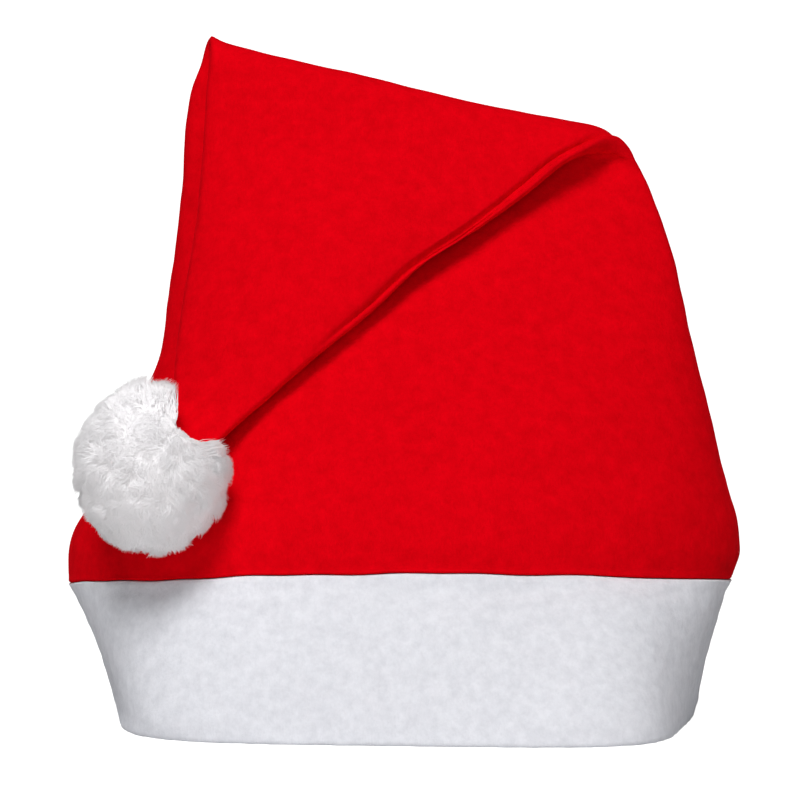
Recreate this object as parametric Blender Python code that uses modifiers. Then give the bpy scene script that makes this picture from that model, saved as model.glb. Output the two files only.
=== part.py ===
"""A felt santa hat with its tip folded over, resting on its rim.

The crown is one cone of red felt, followed by sections: up the body, over a diagonal fold and down
the flap to the tip. A cuff of doubled white felt is sewn round the opening, and a white pompom sits
on the tip. Lengths in the tables are millimetres; the meshes are metres, with +Z up, the front at
-Y and the rim standing on z = 0.
"""

import math
from collections import namedtuple

import bmesh
import bpy
import numpy as np
from mathutils import Vector
from mathutils.bvhtree import BVHTree

MM = 0.001

# Felt
CROWN_WALL = 1.6
CUFF_WALL = 3.4
SEAM_GAP = 0.3
SEAM_ALLOWANCE = 7.0
EDGE_ROUNDING = 0.8

# The fold runs down to the right at this slope, and the flap lies in front of the body
FOLD_SLOPE = math.radians(13.1)

# The rim is spread in plan: nearly square in front, where its right corner is nearer and its sides
# draw in towards the corners, and rounder behind
RIM_HALF_WIDTH = 103.6
RIM_SHIFT = 0.2
RIM_FRONT_DEPTH = 84.0
RIM_BACK_DEPTH = 87.0
RIM_FRONT_SQUARENESS = 4.5
RIM_BACK_SQUARENESS = 2.3
RIM_SKEW = -0.08
RIM_TAPER = 0.125
RIM_TAPER_RIGHT = 0.03
CUFF_FLARE = 1.25
CUFF_LEVELS = (0.3, 0.65)

# Stitched seam along the flap's right edge, which shows as a groove in its front
GROOVE_FROM_EDGE = 5.2
GROOVE_WIDTH = 1.3
GROOVE_DEPTH = 1.0
GROOVE_TURN = (100.0, 160.0)
GROOVE_FADE = (22.0, 40.0)

# Vertices across a section: close together at both folded edges, then evenly turned round
EDGE_STEPS = (0.0, 0.9, 2.8, 5.2, 8.4)
INNER_STEPS = 14
LARGEST_EDGE_SHARE = 0.3

# Pompom
POMPOM_CENTRE = (-83.8, -60.0, 89.2)
POMPOM_RADII = (29.4, 28.0, 31.2)
POMPOM_LOCKS = 66
LOCK_WIDTH = math.radians(12.0)
LOCK_RELIEF = 0.16
LOCK_VARIATION = 0.10
LOCK_SCATTER = 0.06
PARTING_DIRECTION = (0.57, -0.22, 0.80)
PARTING_ANGLES = (math.radians(12.0), math.radians(38.0))
PARTING_DEPTH = 0.44
POMPOM_CLEARANCE = 0.6
PRESS_ANGLE = math.radians(6.0)
PRESS_RAYS = 10

RED = (0.76, 0.0, 0.006, 1.0)
WHITE = (0.80, 0.83, 0.88, 1.0)
WARM_WHITE = (0.84, 0.80, 0.82, 1.0)

# One row for each section of the crown. The left and right folded edges are given in x, y and z.
# depth is the section's half thickness at its middle and edge its half thickness at the folded
# edges, fullness the power of its curve (0.5 an ellipse), turn the angle that it has turned over
# the fold, arch how far its middle stands above its edges, and bow how far it bulges forward.
Section = namedtuple(
    "Section",
    "left_x left_y left_z right_x right_y right_z depth edge fullness turn arch bow",
)

BODY = (
    Section(-121.8, 0, 48.7, 117.6, 0, 49.8, 66.0, 0.3, 0.50, 0, 4.6, 0),
    Section(-122.0, 0, 56.4, 120.4, 0, 60.7, 65.5, 0.6, 0.50, 0, 3.2, 0),
    Section(-119.8, 0, 67.3, 119.6, 0, 70.9, 64.0, 1.4, 0.50, 0, 2.0, 0),
    Section(-112.4, 0, 80.0, 117.0, 0, 81.1, 61.0, 2.0, 0.50, 0, 1.0, 0),
    Section(-105.5, 0, 94.5, 113.8, 0, 92.7, 57.0, 2.4, 0.51, 0, 0, 0),
    Section(-97.7, 0, 110.9, 111.1, 0, 105.5, 51.0, 2.5, 0.52, 0, 0, 0),
    Section(-90.4, 0, 129.1, 108.1, 0, 118.9, 43.5, 2.5, 0.54, 0, 0, 0),
    Section(-87.4, 0, 150.9, 104.5, 0, 134.5, 34.5, 2.5, 0.58, 0, 0, 0),
    Section(-84.3, 0.6, 172.7, 100.4, 0.6, 150.9, 25.5, 2.5, 0.62, 0, 0, 0),
    Section(-81.9, 1.4, 194.5, 96.6, 1.4, 167.3, 17.0, 2.5, 0.64, 0, 0, 0),
    Section(-80.6, 2.1, 216.4, 92.4, 2.1, 182.9, 9.8, 2.5, 0.60, 0, 0, 0),
    Section(-77.9, 2.3, 230.7, 88.0, 2.3, 195.8, 5.6, 2.5, 0.48, 4, -0.4, 0),
)

FOLD = (
    Section(-75.0, 1.7, 237.4, 84.8, 1.7, 202.2, 4.4, 2.4, 0.40, 25, -0.9, 0),
    Section(-73.0, -0.7, 241.8, 81.9, -0.7, 205.9, 4.4, 2.4, 0.35, 58, -1.6, 0),
    Section(-71.6, -4.0, 243.2, 77.6, -4.0, 208.2, 4.4, 2.4, 0.35, 90, -2.3, 0),
    Section(-70.8, -7.3, 242.0, 73.0, -7.3, 207.0, 4.4, 2.4, 0.35, 122, -1.6, 0),
    Section(-70.6, -9.6, 238.2, 67.8, -9.8, 205.2, 4.6, 2.4, 0.40, 155, -0.9, 0),
)

FLAP = (
    Section(-70.9, -10.3, 231.4, 59.6, -11.8, 201.0, 5.0, 2.5, 0.48, 176, 0, 0.4),
    Section(-71.7, -10.6, 215.1, 43.1, -15.4, 187.5, 5.2, 2.5, 0.54, 180, 0, 2.6),
    Section(-72.4, -11.4, 196.7, 24.5, -22.8, 172.6, 5.2, 2.5, 0.55, 180, 0, 6.6),
    Section(-73.5, -13.6, 178.6, 4.4, -31.6, 158.5, 5.2, 2.5, 0.55, 180, 0, 8.2),
    Section(-75.5, -17.4, 160.8, -11.3, -38.0, 144.0, 5.0, 2.5, 0.55, 180, 0, 7.0),
    Section(-77.6, -23.6, 142.0, -28.3, -42.8, 129.3, 4.8, 2.5, 0.52, 180, 0, 4.6),
    Section(-78.4, -31.6, 123.1, -44.4, -46.6, 114.6, 4.6, 2.5, 0.50, 180, 0, 2.2),
    Section(-77.9, -41.0, 108.5, -56.9, -49.2, 103.5, 4.4, 2.5, 0.50, 180, 0, 1.0),
    Section(-77.4, -49.0, 98.5, -64.9, -52.6, 95.4, 4.0, 2.5, 0.50, 180, 0, 0.3),
    Section(-77.8, -55.0, 91.8, -71.0, -56.6, 90.2, 3.0, 2.2, 0.50, 180, 0, 0),
)
TIP = (-75.6, -58.0, 88.6)


def across(half_length):
    """Places over a section, 1 at its right edge to -1 at its left one."""
    scale = min(1.0, LARGEST_EDGE_SHARE * half_length / EDGE_STEPS[-1])
    near = 1.0 - np.array(EDGE_STEPS) * scale / half_length
    widest = math.acos(near[-1])
    inner = np.cos(np.linspace(widest, math.pi - widest, INNER_STEPS + 1))[1:-1]
    return np.concatenate([near, inner, -near[::-1]])


def groove(row, half_length, place):
    """Depth of the seam groove, which fades out along the lower half of the flap."""
    turned = np.interp(row.turn, GROOVE_TURN, (0, 1))
    wide = np.interp(half_length, GROOVE_FADE, (0, 1))
    distance = (1.0 - place) * half_length
    return GROOVE_DEPTH * turned * wide * np.exp(-(((distance - GROOVE_FROM_EDGE) / GROOVE_WIDTH) ** 2))


def section_loop(row):
    """The loop of a section: along its outer side from right to left, and back along the other."""
    left = np.array([row.left_x, row.left_y, row.left_z])
    right = np.array([row.right_x, row.right_y, row.right_z])
    half_length = 0.5 * np.linalg.norm(right - left)
    place = across(half_length)
    edge_start = 1.0 - row.edge / half_length
    roundness = np.clip((np.abs(place) - edge_start) / (1.0 - edge_start), 0, 1)
    swell = np.clip(1 - place**2, 0, 1)
    half_depth = (row.depth - row.edge) * swell**row.fullness
    half_depth += row.edge * np.sqrt(1 - roundness**2)
    turn = math.radians(row.turn)
    upright = np.array([math.sin(FOLD_SLOPE), 0.0, math.cos(FOLD_SLOPE)])
    outward = math.cos(turn) * np.array([0.0, 1.0, 0.0]) + math.sin(turn) * upright
    middle = 0.5 * (left + right) + place[:, None] * 0.5 * (right - left)
    middle[:, 1] -= row.bow * swell
    middle[:, 2] += row.arch * swell
    outer = middle + (half_depth - groove(row, half_length, place))[:, None] * outward
    inner = middle - half_depth[:, None] * outward
    return np.concatenate([outer, inner[-2:0:-1]])


def inset(loop, distance):
    """A loop moved inwards in plan by a distance."""
    ahead = np.roll(loop, -1, axis=0) - np.roll(loop, 1, axis=0)
    length = np.hypot(ahead[:, 0], ahead[:, 1])
    moved = loop.copy()
    moved[:, 0] -= distance * ahead[:, 1] / length
    moved[:, 1] += distance * ahead[:, 0] / length
    return moved


def raised(loop, height):
    return loop + np.array([0.0, 0.0, height])


def rim_loop(seam):
    """The rim in plan, with a vertex below each vertex of the seam."""
    middle = 0.5 * (seam.max(axis=0) + seam.min(axis=0))
    half = 0.5 * (seam.max(axis=0) - seam.min(axis=0))
    wide = (seam[:, 0] - middle[0]) / half[0]
    deep = (seam[:, 1] - middle[1]) / half[1]
    in_front = deep < 0
    power = np.where(in_front, RIM_FRONT_SQUARENESS, RIM_BACK_SQUARENESS)
    size = (np.abs(wide) ** power + np.abs(deep) ** power) ** (1 / power)
    wide, deep = wide / size, deep / size
    forward = np.maximum(-deep, 0)
    x = RIM_HALF_WIDTH * wide * (1 - (RIM_TAPER + RIM_TAPER_RIGHT * wide) * forward)
    y = np.where(in_front, RIM_FRONT_DEPTH, RIM_BACK_DEPTH) * deep + RIM_SKEW * x * forward
    return np.stack([x + RIM_SHIFT, y, np.zeros_like(x)], axis=1)


def loft(name, loops, collection, material, end=None, closed=False):
    """A mesh through loops of equal count, with its last loop drawn to a point or to the first."""
    count = len(loops[0])
    points = np.concatenate(loops) * MM
    faces = []
    for k in range(len(loops) if closed else len(loops) - 1):
        low = k * count
        high = ((k + 1) % len(loops)) * count
        for i in range(count):
            after = (i + 1) % count
            faces.append((low + i, low + after, high + after, high + i))
    if end is not None:
        points = np.concatenate([points, [np.array(end) * MM]])
        last = (len(loops) - 1) * count
        for i in range(count):
            faces.append((last + i, last + (i + 1) % count, len(points) - 1))
    mesh = bpy.data.meshes.new(name)
    mesh.from_pydata(points.tolist(), [], faces)
    mesh.shade_smooth()
    mesh.set_sharp_from_angle(angle=math.radians(50))
    mesh.materials.append(material)
    piece = bpy.data.objects.new(name, mesh)
    collection.objects.link(piece)
    return piece


def felt(name, colour, roughness):
    material = bpy.data.materials.new(name)
    material.use_nodes = True
    shader = material.node_tree.nodes["Principled BSDF"]
    shader.inputs["Base Color"].default_value = colour
    shader.inputs["Roughness"].default_value = roughness
    shader.inputs["Metallic"].default_value = 0.0
    return material


def seam_loop():
    return section_loop(BODY[0])


def make_crown(collection):
    """The red cone: a turned-in seam allowance, the body, the fold, the flap and the tip."""
    seam = raised(seam_loop(), SEAM_GAP)
    loops = [inset(seam, SEAM_ALLOWANCE), inset(seam, EDGE_ROUNDING)]
    loops.append(raised(seam, EDGE_ROUNDING))
    loops += [section_loop(row) for row in BODY[1:] + FOLD + FLAP]
    crown = loft("crown", loops, collection, felt("red_felt", RED, 0.95), end=TIP)
    surface = BVHTree.FromPolygons(
        [vertex.co for vertex in crown.data.vertices],
        [tuple(face.vertices) for face in crown.data.polygons],
    )
    wall = crown.modifiers.new("felt wall", "SOLIDIFY")
    wall.thickness = CROWN_WALL * MM
    wall.offset = -1
    wall.use_even_offset = True
    return crown, surface


def make_cuff(collection):
    """The white cuff: a closed profile carried round, from the rim's land up to the seam."""
    seam = seam_loop()
    rim = rim_loop(seam)

    def level(share, depth):
        mixed = rim + (seam - rim) * share**CUFF_FLARE
        mixed[:, 2] = seam[:, 2] * share
        return inset(mixed, depth)

    low = EDGE_ROUNDING / seam[:, 2].mean()
    outside = [inset(rim, EDGE_ROUNDING), level(low, 0)]
    outside += [level(share, 0) for share in CUFF_LEVELS]
    outside += [raised(seam, -EDGE_ROUNDING), inset(seam, EDGE_ROUNDING)]
    allowance = [inset(seam, SEAM_ALLOWANCE), raised(inset(seam, SEAM_ALLOWANCE), -CUFF_WALL / 2)]
    inside = [raised(inset(seam, CUFF_WALL), -CUFF_WALL / 2)]
    inside += [level(share, CUFF_WALL) for share in reversed(CUFF_LEVELS)]
    inside += [level(low, CUFF_WALL), inset(rim, CUFF_WALL - EDGE_ROUNDING)]
    loops = outside + allowance + inside
    return loft("cuff_band", loops, collection, felt("white_felt", WHITE, 0.95), closed=True)


def spread_directions(count):
    """Directions spread evenly over a sphere, along a golden-angle spiral."""
    turn = math.pi * (3 - math.sqrt(5)) * np.arange(count)
    height = 1 - (2 * np.arange(count) + 1) / count
    width = np.sqrt(1 - height**2)
    return np.stack([width * np.cos(turn), width * np.sin(turn), height], axis=1)


def pressed(centre, direction, reach, surface):
    """How far a strand may reach before the felt, for it and the strands close round it."""
    side = direction.orthogonal().normalized()
    other = direction.cross(side)
    nearest = reach
    for k in range(PRESS_RAYS):
        turn = 2 * math.pi * k / (PRESS_RAYS - 1)
        lean = 0.0 if k == PRESS_RAYS - 1 else math.tan(PRESS_ANGLE)
        ray = direction + lean * (math.cos(turn) * side + math.sin(turn) * other)
        hit = surface.ray_cast(centre, ray.normalized(), nearest + POMPOM_CLEARANCE * MM)
        if hit[0] is not None:
            nearest = min(nearest, hit[3] - POMPOM_CLEARANCE * MM)
    return nearest


def make_pompom(collection, surface):
    """A ball of fused locks, parted where the tip goes in and pressed flat where it meets felt."""
    ball = bmesh.new()
    bmesh.ops.create_icosphere(ball, subdivisions=5, radius=1.0)
    directions = np.array([vertex.co for vertex in ball.verts])
    directions /= np.linalg.norm(directions, axis=1)[:, None]
    rng = np.random.default_rng(7)
    locks = spread_directions(POMPOM_LOCKS)
    locks += rng.normal(0, LOCK_SCATTER, locks.shape)
    locks /= np.linalg.norm(locks, axis=1)[:, None]
    lengths = 1 + LOCK_VARIATION * rng.uniform(-1, 1, POMPOM_LOCKS)
    apart = np.arccos(np.clip(directions @ locks.T, -1, 1))
    relief = (lengths * np.exp(-((apart / LOCK_WIDTH) ** 2))).max(axis=1)
    parting = np.array(PARTING_DIRECTION) / np.linalg.norm(PARTING_DIRECTION)
    off = np.arccos(np.clip(directions @ parting, -1, 1))
    share = np.clip((off - PARTING_ANGLES[0]) / (PARTING_ANGLES[1] - PARTING_ANGLES[0]), 0, 1)
    parted = 1 - PARTING_DEPTH * (1 - share**2 * (3 - 2 * share))
    reach = 1.0 / np.linalg.norm(directions / np.array(POMPOM_RADII), axis=1)
    reach = reach * parted * (1 - LOCK_RELIEF + LOCK_RELIEF * relief) * MM
    centre = Vector(POMPOM_CENTRE) * MM
    for vertex, direction, radius in zip(ball.verts, directions, reach):
        way = Vector(direction)
        vertex.co = centre + way * pressed(centre, way, float(radius), surface)
    mesh = bpy.data.meshes.new("pompom")
    ball.to_mesh(mesh)
    ball.free()
    mesh.shade_smooth()
    mesh.materials.append(felt("white_pile", WARM_WHITE, 1.0))
    pompom = bpy.data.objects.new("pompom", mesh)
    collection.objects.link(pompom)
    return pompom


def make_hat():
    for old in list(bpy.data.objects):
        bpy.data.objects.remove(old)
    collection = bpy.data.collections.new("santa_hat")
    bpy.context.scene.collection.children.link(collection)
    crown, surface = make_crown(collection)
    make_cuff(collection)
    make_pompom(collection, surface)


make_hat()
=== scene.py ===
"""A felt santa hat, folded over in front and standing on its rim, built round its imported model.

The crown and the cuff are fine surfaces of sewn felt, and the pompom is a ball of cut pile in
locks. Lengths in the tables are millimetres, and everything else is in metres.
"""

import math
from collections import namedtuple

import bpy
import numpy as np
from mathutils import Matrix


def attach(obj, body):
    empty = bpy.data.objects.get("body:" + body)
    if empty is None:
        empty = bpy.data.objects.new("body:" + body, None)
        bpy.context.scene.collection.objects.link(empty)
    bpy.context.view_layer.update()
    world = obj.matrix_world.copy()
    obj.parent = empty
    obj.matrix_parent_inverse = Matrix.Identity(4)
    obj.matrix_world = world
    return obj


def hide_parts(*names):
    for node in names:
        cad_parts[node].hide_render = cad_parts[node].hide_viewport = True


bl_info = {
    "name": "Santa Hat",
    "version": (1, 0, 0),
    "blender": (4, 5, 0),
    "location": "3D View > Sidebar > Santa Hat",
    "description": "Builds a folded felt hat with a white cuff and a pompom of cut pile",
    "category": "Add Mesh",
}

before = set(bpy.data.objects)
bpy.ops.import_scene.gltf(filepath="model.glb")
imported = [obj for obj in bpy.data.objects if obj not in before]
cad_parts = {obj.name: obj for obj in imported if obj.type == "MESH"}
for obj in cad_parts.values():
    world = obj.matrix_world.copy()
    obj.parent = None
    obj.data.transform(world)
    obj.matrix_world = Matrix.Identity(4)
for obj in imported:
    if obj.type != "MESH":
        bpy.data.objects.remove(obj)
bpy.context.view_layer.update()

MM = 0.001

# One row for each section of the crown. The left and right folded edges are given in x, y and z.
# depth is the section's half thickness at its middle and edge its half thickness at the folded
# edges, fullness the power of its curve (0.5 an ellipse), turn the angle that it has turned over
# the fold, arch how far its middle stands above its edges, and bow how far it bulges forward.
Section = namedtuple(
    "Section",
    "left_x left_y left_z right_x right_y right_z depth edge fullness turn arch bow",
)

BODY = (
    Section(-121.8, 0, 48.7, 117.6, 0, 49.8, 66.0, 0.3, 0.50, 0, 4.6, 0),
    Section(-122.0, 0, 56.4, 120.4, 0, 60.7, 65.5, 0.6, 0.50, 0, 3.2, 0),
    Section(-119.8, 0, 67.3, 119.6, 0, 70.9, 64.0, 1.4, 0.50, 0, 2.0, 0),
    Section(-112.4, 0, 80.0, 117.0, 0, 81.1, 61.0, 2.0, 0.50, 0, 1.0, 0),
    Section(-105.5, 0, 94.5, 113.8, 0, 92.7, 57.0, 2.4, 0.51, 0, 0, 0),
    Section(-97.7, 0, 110.9, 111.1, 0, 105.5, 51.0, 2.5, 0.49, 0, 0, 0),
    Section(-90.4, 0, 129.1, 108.1, 0, 118.9, 43.5, 2.5, 0.48, 0, 0, 0),
    Section(-87.4, 0, 150.9, 104.5, 0, 134.5, 34.5, 2.5, 0.47, 0, 0, 0),
    Section(-84.3, 0.6, 172.7, 100.4, 0.6, 150.9, 25.5, 2.5, 0.47, 0, 0, 0),
    Section(-81.9, 1.4, 194.5, 96.6, 1.4, 167.3, 17.0, 2.5, 0.48, 0, 0, 0),
    Section(-80.6, 2.1, 216.4, 92.4, 2.1, 182.9, 9.8, 2.5, 0.50, 0, 0, 0),
    Section(-77.9, 2.3, 230.7, 88.0, 2.3, 195.8, 5.6, 2.5, 0.48, 4, -0.4, 0),
)

FOLD = (
    Section(-75.0, 1.7, 237.4, 84.8, 1.7, 202.2, 4.4, 2.4, 0.40, 25, -0.9, 0),
    Section(-73.0, -0.7, 241.8, 81.9, -0.7, 207.0, 4.4, 2.4, 0.35, 58, -1.6, 0),
    Section(-71.6, -4.0, 243.2, 77.6, -4.0, 209.2, 4.4, 2.4, 0.35, 90, -2.3, 0),
    Section(-70.8, -7.3, 242.0, 73.0, -7.3, 208.0, 4.4, 2.4, 0.35, 122, -1.6, 0),
    Section(-70.6, -9.6, 238.2, 67.8, -9.8, 205.2, 4.6, 2.4, 0.40, 155, -0.9, 0),
)

FLAP = (
    Section(-71.3, -10.3, 231.4, 59.6, -12.6, 201.0, 5.0, 2.5, 0.48, 176, 0, 0.4),
    Section(-72.4, -10.8, 215.1, 43.1, -16.8, 187.5, 5.2, 2.5, 0.54, 180, 0, 2.6),
    Section(-73.8, -11.8, 196.7, 24.5, -24.6, 172.6, 5.2, 2.5, 0.55, 180, 0, 6.6),
    Section(-75.2, -14.2, 178.6, 4.4, -33.4, 158.5, 5.2, 2.5, 0.55, 180, 0, 8.2),
    Section(-77.5, -18.4, 160.8, -11.3, -39.6, 144.0, 5.0, 2.5, 0.55, 180, 0, 7.0),
    Section(-79.8, -24.8, 142.0, -28.3, -44.2, 129.3, 4.8, 2.5, 0.52, 180, 0, 4.6),
    Section(-80.8, -32.6, 123.1, -44.4, -46.6, 114.6, 4.6, 2.5, 0.50, 180, 0, 2.2),
    Section(-80.4, -41.6, 108.5, -56.9, -49.2, 103.5, 4.4, 2.5, 0.50, 180, 0, 1.0),
    Section(-79.8, -49.4, 98.5, -64.9, -52.6, 95.4, 4.0, 2.5, 0.50, 180, 0, 0.3),
    Section(-79.2, -55.2, 91.8, -71.0, -56.6, 90.2, 3.0, 2.2, 0.50, 180, 0, 0),
)
TIP = np.array([-75.6, -58.0, 88.6])
FOLD_SLOPE = math.radians(13.1)

# Loops made between one row and the next, and vertices over one side of a loop
FIRST_LOOPS = 24
BODY_LOOPS = 9
FOLD_LOOPS = 9
FLAP_LOOPS = 10
EDGE_ZONE = 8.4
EDGE_POINTS = 15
EDGE_EASE = 1.3
CROWN_POINTS = 60
CUFF_POINTS = 150
LARGEST_EDGE_SHARE = 0.3

# The sewn seam round the opening, shared by the crown and the cuff
SEAM_GAP = 0.3
SEAM_ALLOWANCE = 7.0
SEAM_ROLL = 0.8
SEAM_WAVE = 0.45

# Heights of the body's left edge behind the flap, how far it is pressed thin at each of them, and
# the share by which the power of its curve grows where it is pressed most
PRESSED_HEIGHTS = (115.0, 185.0, 215.0, 231.0)
PRESSED_AMOUNTS = (0.0, 1.0, 0.5, 0.0)
PRESSED_SHARE = 0.6

# The same edge bends backwards, by this much at the edge and less by the reach away from it, and
# outwards by a share of that
BEND = 6.0
BEND_REACH = 9.0
BEND_OUT = 0.14

# Half widths of the flap between which the groove along its seam comes in, and between which it
# leaves the edge
SEAM_FADE = (26.0, 36.0)
SEAM_CLOSES = (28.0, 60.0)

# The corner where the fold meets the left edge is pressed sharp, and stands up a little
CORNER_SHARPNESS = 0.82
CORNER_LIFT = 3.3
CORNER_REACH = 3.0

# The other corner of the fold droops
DROOP = 2.0
DROOP_REACH = 6.0

# Distances from the seam at which the crown's puckers begin and end, its tuck lies, its waves and
# its nap come in, and the seam's own waves die away on crown and cuff
PUCKER_START = 2.2
PUCKER_REACH = 9.0
TUCK_PLACE = 2.4
TUCK_WIDTH = 1.2
TUCK_SHARE = 0.15
SWAY_START = 12.0
NAP_START = 8.0
SEAM_WAVE_REACH = 8.0

# Loops before the tip between which the crown's waves die away
CALM_LOOPS = (30, 12)

# Shortest and longest of the felt's waves
CROWN_SWAY_LENGTHS = (38.0, 95.0)
CROWN_NAP_LENGTHS = (8.0, 18.0)
CUFF_SWAY_LENGTHS = (30.0, 80.0)
CUFF_NAP_LENGTHS = (4.2, 9.0)

# The rim in plan
RIM_HALF_WIDTH = 103.6
RIM_SHIFT = 0.2
RIM_FRONT_DEPTH = 83.3
RIM_BACK_DEPTH = 87.0
RIM_FRONT_SQUARENESS = 4.5
RIM_BACK_SQUARENESS = 2.3
RIM_SKEW = -0.095
RIM_TAPER = 0.125
RIM_TAPER_RIGHT = 0.03
RIM_FLAT_RIGHT = 2.6

# The pompom, in metres. Seen along the facing direction, its parting opens and closes over two
# ranges of angle round the middle, with a ragged edge, and fades out behind.
POMPOM_CENTRE = np.array([-0.0845, -0.0600, 0.0893])
POMPOM_RADII = np.array([0.0272, 0.0272, 0.0305])
PILE_FACING = (0.126, -0.992, 0.0)
PARTING_FROM = (math.radians(18.0), math.radians(27.0))
PARTING_TO = (math.radians(68.0), math.radians(80.0))
PARTING_RADIUS = 0.0155
PARTING_RAGGED = math.radians(5.0)
PARTING_BEHIND = (0.45, 0.85)
PRESS_ANGLE = math.radians(5.0)
PRESS_GAP = 0.0006
CORE_SHARE = 0.86
CORE_GRID = (88, 176)

# Locks, which all layers share: their scatter, lean, length as a share of the reach, and tone
LOCK_SCATTER = 0.05
LOCK_LEAN = 0.07
LOCK_LENGTH = 0.97
LOCK_LENGTH_SPREAD = 0.05
LOCK_TONE = 0.1

# Fibres, combed away from the pile's middle. The steps are shares of a fibre's length, with a width at each
# but the last and a tone at each; the tones darken towards the root as painted shade deep in the pile.
PILE_LAYERS = 3
PILE_MIDDLE = (0.245, -0.96, 0.14)
FIBRE_SCATTER = 0.03
FIBRE_LEAN = 0.05
GATHER_RANGE = (0.5, 1.3)
ROOT_DEPTH = 0.06
SHORTER_BY = 0.08
FIBRE_STEPS = (0.0, 0.6, 1.0)
FIBRE_TAPER = (1.0, 0.85)
FIBRE_SHADE_TONES = (0.5, 0.8, 0.95)
FIBRE_WIDTHS = (0.7, 1.2)
FIBRE_TONE = 0.08

# Share of a face's own normal in the pile's shading, and the flattening of the ball's
NORMAL_OWN_SHARE = 0.45
NORMAL_FLATTENING = (1, 1, 0.55)

# The stage, in metres: a floor that sweeps up into a backdrop, and two square lights
FLOOR_FRONT = -3.0
FLOOR_HALF_WIDTH = 4.0
SWEEP_START = 1.6
SWEEP_RADIUS = 0.8
BACKDROP_TOP = 3.5
LIGHT_AIM = (0.0, 0.0, 0.12)
KEY_PLACE = (-0.20, -1.48, 1.80)
KEY_WIDTH = 0.8
FRONT_PLACE = (-0.05, -1.5, 0.12)
FRONT_WIDTH = 0.9


def length(name, description, default):
    """A size in metres that a user can change."""
    return bpy.props.FloatProperty(
        name=name, description=description, default=default, precision=4, unit="LENGTH"
    )


def amount(name, description, default):
    return bpy.props.FloatProperty(name=name, description=description, default=default)


def number(name, description, default):
    return bpy.props.IntProperty(name=name, description=description, default=default, min=1)


def colour(name, description, default):
    return bpy.props.FloatVectorProperty(
        name=name, description=description, default=default, size=4, subtype="COLOR", min=0, max=1
    )


class CrownSettings(bpy.types.PropertyGroup):
    """Sizes and colours of the red felt crown."""

    wall: length("Wall", "Thickness of the felt", 0.0016)
    groove_depth: length("Seam depth", "Depth of the sewn seam along the right edge", 0.0025)
    groove_width: length("Seam width", "Half width of the sewn seam", 0.0015)
    groove_place: length("Seam place", "Distance of the seam from the folded edge", 0.0038)
    lip: length("Lip", "Height of the roll between the seam and the edge", 0.0006)
    pucker: length("Pucker", "Depth of the puckers above the cuff", 0.0006)
    sway: length("Sway", "Height of the slow waves in the felt", 0.0006)
    nap: length("Nap", "Height of the small lumps in the felt", 0.00014)
    light: colour("Light red", "Colour of the felt where its fibres stand up", (0.82, 0.0, 0.006, 1))
    dark: colour("Dark red", "Colour of the felt between its fibres", (0.66, 0.0, 0.004, 1))


class CuffSettings(bpy.types.PropertyGroup):
    """Sizes and colours of the white felt cuff."""

    wall: length("Wall", "Thickness of the doubled felt", 0.0034)
    flare: amount("Flare", "Power of the curve from the rim to the seam", 1.25)
    pucker: length("Pucker", "Depth of the puckers below the seam", 0.0004)
    sway: length("Sway", "Height of the slow waves in the felt", 0.0007)
    nap: length("Nap", "Height of the small lumps in the felt", 0.00010)
    light: colour("Light white", "Colour of the felt where its fibres stand up", (0.88, 0.89, 0.94, 1))
    dark: colour("Dark white", "Colour of the felt between its fibres", (0.74, 0.75, 0.80, 1))


class PompomSettings(bpy.types.PropertyGroup):
    """Sizes and colours of the pompom."""

    locks: number("Locks", "Locks that the pile gathers in", 420)
    fibres: number("Fibres", "Fibres in each layer of pile", 19600)
    fibre_width: length("Fibre width", "Width of a fibre at its root", 0.00036)
    gather: amount("Gather", "Share by which a fibre leans to its lock", 0.4)
    comb: amount("Comb", "How far the pile lies over, away from the middle of its front", 0.06)
    droop: amount("Droop", "How far the pile leans down under its weight", 0.06)
    # The root colour is a little darker and pinker than the tip: painted shade and painted red bounce deep
    # in the pile.
    light: colour("Tip", "Colour of the pile at its tips", (0.95, 0.935, 0.95, 1))
    dark: colour("Root", "Colour of the pile near its roots", (0.95, 0.92, 0.92, 1))
    # Painted glow: an even emission over the whole pile stands in for the light scattered through real
    # pile.
    glow: amount("Glow", "Light that passes through the pile, added all over it", 0.20)


class StageSettings(bpy.types.PropertyGroup):
    """The floor, the lights and the camera."""

    distance: length("Camera distance", "Distance of the camera from the hat's middle plane", 0.700)
    height: length("Camera height", "Height of the camera above the floor", 0.080)
    side: length("Camera side", "Place of the camera to the right of the hat's middle", -0.0022)
    lens: amount("Lens", "Focal length in millimetres on a 36 mm sensor", 86.6)
    pitch: amount("Pitch", "Degrees that the camera looks up", 2.83)
    key: amount("Key light", "Power of the light high behind the camera, in watts", 37.0)
    front: amount("Front light", "Power of the low light behind the camera, in watts", 4.5)
    floor: colour("Floor", "Colour of the floor and backdrop", (0.80, 0.80, 0.80, 1))
    glow: amount("Floor glow", "Light added to the floor and backdrop where they are seen", 0.95)
    sky: amount("Sky", "Strength of the even white light all round", 0.05)


# Surfaces worked out as grids


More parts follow.
